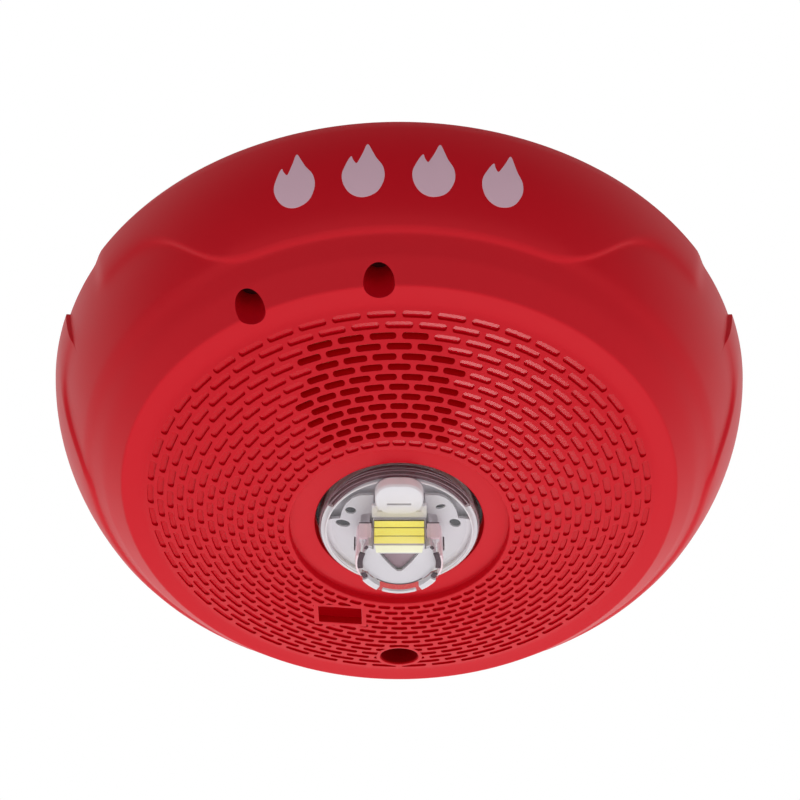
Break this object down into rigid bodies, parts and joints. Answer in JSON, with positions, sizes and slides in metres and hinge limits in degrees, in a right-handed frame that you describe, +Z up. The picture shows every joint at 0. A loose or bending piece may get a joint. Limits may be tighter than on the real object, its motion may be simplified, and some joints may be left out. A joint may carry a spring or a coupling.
{
  "type": "horn strobe",
  "caption": "Round ceiling-mounted fire alarm horn strobe: red domed cover with brick grille and clear lens, hooked onto a mounting plate and held by a captive screw.",
  "frame": {"origin": "centre of the mounting plate's back, on the ceiling, midway between the box screw slots", "axes": "+Z up into the ceiling, the device hangs to -Z; hooks at -Y, captive screw at +Y; +X completes the right-handed frame"},
  "size_m": [0.1728, 0.1726, 0.0545],
  "materials": {
    "cover_red": "satin moulded, fine texture",
    "plate_black": "matt moulded",
    "terminal_nylon": "semi-matt nylon",
    "screw_steel": "zinc plated",
    "dark_screw": "blackened",
    "contact_brass": "bright",
    "spring_steel": "bright",
    "board_green": "solder mask",
    "capacitor_sleeve": "shrink sleeve",
    "ferrite": "sintered",
    "chip_epoxy": "matt",
    "switch_white": "satin",
    "rotor_orange": "satin",
    "slider_red": "satin",
    "horn_red": "satin",
    "foam_black": "closed-cell foam",
    "ceramic": "silvered ceramic",
    "clear_lens": "clear polished polycarbonate",
    "led_board_white": "white solder mask",
    "led_yellow": "phosphor",
    "reflector_white": "bright white",
    "sink_aluminium": "milled"
  },
  "bodies": {
    "plate": {"mounting_plate": "plate_black", "terminal_block": "terminal_nylon", "terminal_screws": "screw_steel", "wire_clamps": "contact_brass", "spring_contacts": "contact_brass", "shorting_spring": "spring_steel"},
    "head": {"front_cover": "cover_red", "rear_housing": "plate_black", "cover_screws": "dark_screw", "circuit_board": "board_green", "board_screws": "screw_steel", "contact_blades": "contact_brass", "storage_capacitor": "capacitor_sleeve", "inductor": "ferrite", "integrated_circuits": "chip_epoxy", "tone_switch": "switch_white", "level_switch": "chip_epoxy", "horn_housing": "horn_red", "horn_gasket": "foam_black", "diaphragm_disc": "contact_brass", "ceramic_element": "ceramic", "strobe_lens": "clear_lens", "lens_gasket": "foam_black", "lens_retainer": "plate_black", "retainer_screws": "screw_steel", "led_board": "led_board_white", "led_strips": "led_yellow", "led_header": "contact_brass", "inner_optic": "clear_lens", "reflector": "reflector_white", "heat_sink": "sink_aluminium"},
    "slider": {"level_slider": "slider_red"},
    "rotor": {"tone_rotor": "rotor_orange"},
    "retainer": {"screw_retainer": "foam_black"},
    "screw": {"mounting_screw": "screw_steel"}
  },
  "joints": [
    {"name": "head_swing", "type": "hinge", "parent": "plate", "child": "head", "pos_m": [0, -0.0862, -0.0003], "axis": [-1, 0, 0], "range_deg": [0, 20]},
    {"name": "level_slide", "type": "slide", "parent": "head", "child": "slider", "axis": [1, 0, 0], "range_m": [-0.006, 0.006]},
    {"name": "tone_turn", "type": "hinge", "parent": "head", "child": "rotor", "pos_m": [0.024, 0.028, -0.0151], "axis": [0, 0, 1], "continuous": true},
    {"name": "screw_travel", "type": "slide", "parent": "head", "child": "retainer", "axis": [0, 0, -1], "range_m": [0, 0.006]},
    {"name": "screw_turn", "type": "hinge", "parent": "retainer", "child": "screw", "pos_m": [0, 0.0536, -0.012], "axis": [0, 0, -1], "range_deg": [0, 1440]}
  ],
  "couplings": [
    {"joint": "screw_turn", "follows": "screw_travel", "rad_per_m": 4188.8}
  ]
}
